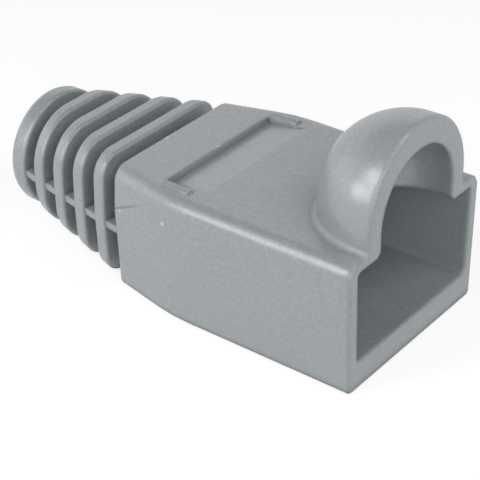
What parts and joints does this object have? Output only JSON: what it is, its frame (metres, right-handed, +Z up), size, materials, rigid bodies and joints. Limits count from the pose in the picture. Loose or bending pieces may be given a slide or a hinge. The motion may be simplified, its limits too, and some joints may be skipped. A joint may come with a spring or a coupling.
{
  "type": "rj45 strain relief boot",
  "caption": "Soft box-shaped boot that slides over the back of a modular data plug, with a domed latch hood over its mouth and a slotted ribbed tail for the cable.",
  "frame": {"origin": "under the middle of the boot's length and width, on its flat bottom", "axes": "+X out of the mouth towards the plug, +Y across the body, +Z up towards the latch hood"},
  "size_m": [0.0316, 0.0148, 0.0162],
  "materials": {
    "soft_pvc": "satin soft vinyl, mid cool grey"
  },
  "bodies": {
    "root": {"strain_relief_boot": "soft_pvc"}
  },
  "joints": []
}
